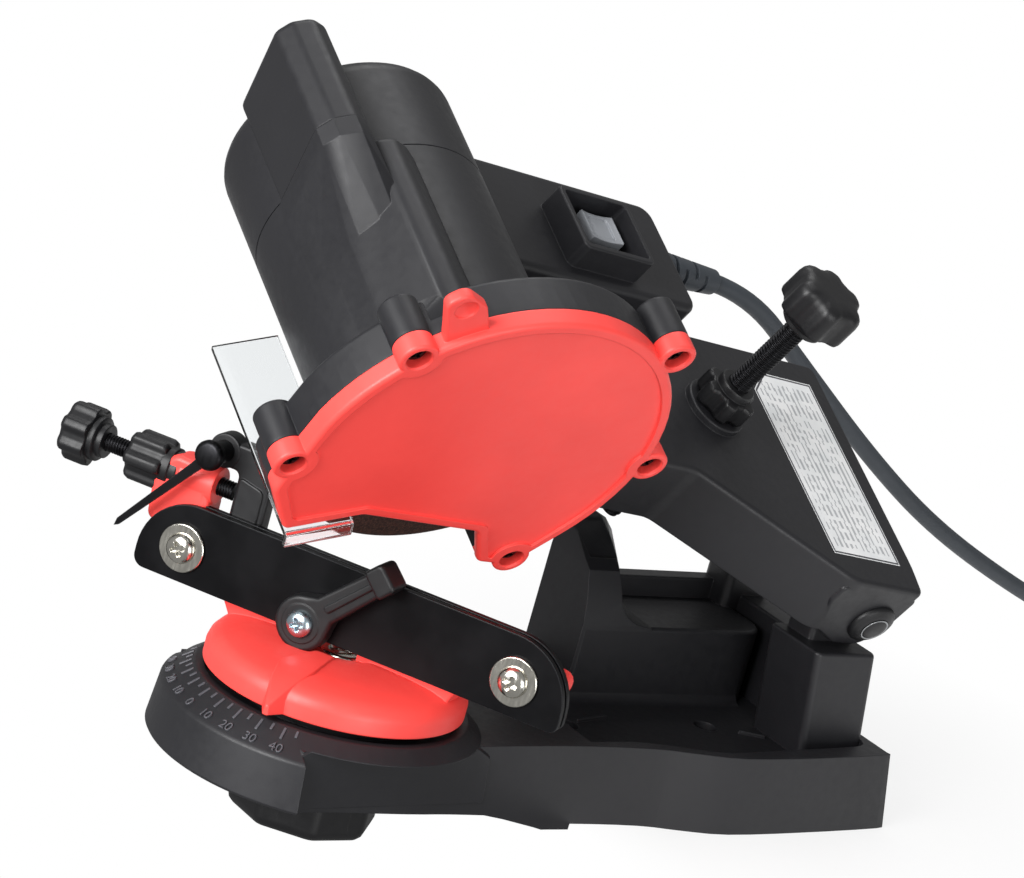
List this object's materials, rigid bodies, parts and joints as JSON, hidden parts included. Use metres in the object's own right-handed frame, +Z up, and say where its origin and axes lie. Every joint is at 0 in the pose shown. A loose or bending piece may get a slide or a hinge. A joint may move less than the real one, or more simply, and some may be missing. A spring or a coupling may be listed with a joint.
{
  "type": "electric chainsaw sharpener",
  "caption": "Bench-mounted electric saw chain sharpener with a swivelling chain vise, a tilting grinding head under a red disc cover, a depth stop, a chain stop and a mains lead",
  "frame": {"origin": "midway between the two bench bolt holes, on the underside of the base", "axes": "+X to the rear of the base, +Y to the far side, +Z up"},
  "size_m": [0.6981, 0.1754, 0.2435],
  "materials": {
    "black_plastic": "moulded charcoal plastic with a fine texture",
    "red_plastic": "satin red plastic",
    "rail_steel": "black satin coated steel",
    "bright_steel": "nickel plated steel",
    "plain_steel": "turned steel",
    "grey_plastic": "grey rocker plastic",
    "abrasive": "dark brown bonded abrasive",
    "clear_plastic": "clear eye shield",
    "label_silver": "bare silver plate",
    "copper_winding": "varnished copper and laminations",
    "carbon": "carbon brush",
    "cord_rubber": "grey-black rubber cord"
  },
  "bodies": {
    "base": {"base_housing": "black_plastic", "cord": "cord_rubber", "cord_coil": "cord_rubber", "plug": "cord_rubber"},
    "vise": {"turntable": "red_plastic", "swivel_bolt": "bright_steel", "rail_rear": "rail_steel", "rail_screws": "bright_steel", "rail_washers": "bright_steel", "rail_nuts": "bright_steel", "lever_screw": "bright_steel"},
    "knob": {"swivel_knob": "black_plastic", "swivel_washer": "plain_steel"},
    "jaw": {"rail_front": "rail_steel"},
    "lever": {"clamp_lever": "black_plastic"},
    "stop_slide": {"stop_rod": "rail_steel", "stop_carriage": "black_plastic", "pawl_pin": "rail_steel"},
    "stop_turner": {"stop_knob": "black_plastic"},
    "stop_locker": {"stop_lock_nut": "black_plastic"},
    "pawl": {"stop_pawl": "rail_steel"},
    "arm": {"arm_shell": "black_plastic", "label_plate": "label_silver", "pivot_shaft": "plain_steel", "pivot_caps": "black_plastic", "return_spring": "plain_steel", "motor_housing": "black_plastic", "motor_cap": "black_plastic", "disc_cover": "red_plastic", "cover_screws": "bright_steel", "eye_shield": "clear_plastic", "stator": "plain_steel", "bearings": "plain_steel", "brush_holders": "copper_winding", "brushes": "carbon", "switch_box": "black_plastic", "box_lid": "black_plastic", "switch_body": "black_plastic", "strain_relief": "cord_rubber"},
    "spindle": {"rotor_shaft": "plain_steel", "rotor_core": "plain_steel", "commutator": "copper_winding", "cooling_fan": "black_plastic", "inner_flange": "plain_steel", "grinding_disc": "abrasive", "outer_flange": "plain_steel", "disc_nut": "plain_steel"},
    "depth_slide": {"depth_rod": "rail_steel"},
    "depth_turner": {"depth_knob": "black_plastic"},
    "depth_locker": {"depth_lock_nut": "black_plastic"},
    "rocker": {"rocker": "grey_plastic"}
  },
  "joints": [
    {"name": "vise_swivel", "type": "hinge", "parent": "base", "child": "vise", "pos_m": [-0.127, 0, 0], "axis": [0, 0, 1], "range_deg": [-67, 3]},
    {"name": "knob_turn", "type": "hinge", "parent": "base", "child": "knob", "pos_m": [-0.127, 0, 0], "axis": [0, 0, 1], "continuous": true},
    {"name": "lever_swing", "type": "hinge", "parent": "vise", "child": "lever", "pos_m": [-0.13209, 0.00814, 0.053], "axis": [-0.848, -0.5299, 0], "range_deg": [-38.2, 0]},
    {"name": "jaw_close", "type": "slide", "parent": "vise", "child": "jaw", "axis": [0.848, 0.5299, 0], "range_m": [0, 0.0006]},
    {"name": "stop_feed", "type": "slide", "parent": "vise", "child": "stop_slide", "axis": [0.5299, -0.848, 0], "range_m": [-0.005, 0.007]},
    {"name": "stop_turn", "type": "hinge", "parent": "stop_slide", "child": "stop_turner", "pos_m": [-0.18084, 0.08428, 0.08], "axis": [0.5299, -0.848, 0], "range_deg": [-1801, 2521]},
    {"name": "stop_lock", "type": "hinge", "parent": "vise", "child": "stop_locker", "pos_m": [-0.16812, 0.06392, 0.08], "axis": [0.5299, -0.848, 0], "continuous": true},
    {"name": "pawl_swing", "type": "hinge", "parent": "stop_slide", "child": "pawl", "pos_m": [-0.15593, 0.0463, 0.0922], "axis": [-0.848, -0.5299, 0], "range_deg": [-40, 12]},
    {"name": "head_swing", "type": "hinge", "parent": "base", "child": "arm", "pos_m": [0.064, -0.0375, 0.065], "axis": [0, 0.866, 0.5], "range_deg": [-1, 25], "stiffness_Nm_per_rad": 4, "springref_deg": 45.84, "deforming": ["cord"]},
    {"name": "disc_spin", "type": "hinge", "parent": "arm", "child": "spindle", "pos_m": [-0.1263, -0.027, 0.13042], "axis": [0, 0.866, 0.5], "continuous": true},
    {"name": "depth_feed", "type": "slide", "parent": "arm", "child": "depth_slide", "axis": [0.1564, -0.4938, 0.8554], "range_m": [-0.001, 0.012]},
    {"name": "depth_turn", "type": "hinge", "parent": "depth_slide", "child": "depth_turner", "pos_m": [0.01569, -0.00878, 0.17225], "axis": [0.1564, -0.4938, 0.8554], "range_deg": [-3457, 289]},
    {"name": "depth_lock", "type": "hinge", "parent": "arm", "child": "depth_locker", "pos_m": [0.00865, 0.01344, 0.13376], "axis": [0.1564, -0.4938, 0.8554], "continuous": true},
    {"name": "rocker_tilt", "type": "hinge", "parent": "arm", "child": "rocker", "pos_m": [-0.02839, 0.06074, 0.16784], "axis": [0, 0.866, 0.5], "range_deg": [-7, 7]}
  ],
  "couplings": [
    {"joint": "lever_swing", "follows": "jaw_close", "rad_per_m": -1105.4},
    {"joint": "stop_turn", "follows": "stop_feed", "rad_per_m": 6283.2},
    {"joint": "depth_turn", "follows": "depth_feed", "rad_per_m": -5026.5}
  ]
}
